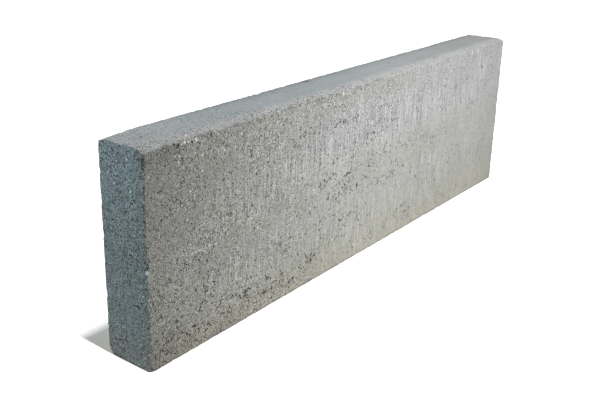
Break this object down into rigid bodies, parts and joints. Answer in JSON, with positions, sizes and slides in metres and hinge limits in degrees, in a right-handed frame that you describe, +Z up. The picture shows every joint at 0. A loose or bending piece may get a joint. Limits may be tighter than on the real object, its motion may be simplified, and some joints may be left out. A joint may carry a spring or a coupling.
{
  "type": "concrete kerb stone",
  "caption": "Straight precast concrete edging kerb of tall, narrow section with one bevelled top arris, laid end to end to line a path, lawn or road.",
  "frame": {"origin": "middle of the bed that the kerb stands on", "axes": "+X along the kerb, the road face with the bevelled top arris looks along -Y, +Z up"},
  "size_m": [1, 0.08, 0.3],
  "materials": {
    "concrete": "fair-faced cast concrete, matt grey, with fine pores and streaks from the mould"
  },
  "bodies": {
    "root": {"kerb_stone": "concrete"}
  },
  "joints": []
}
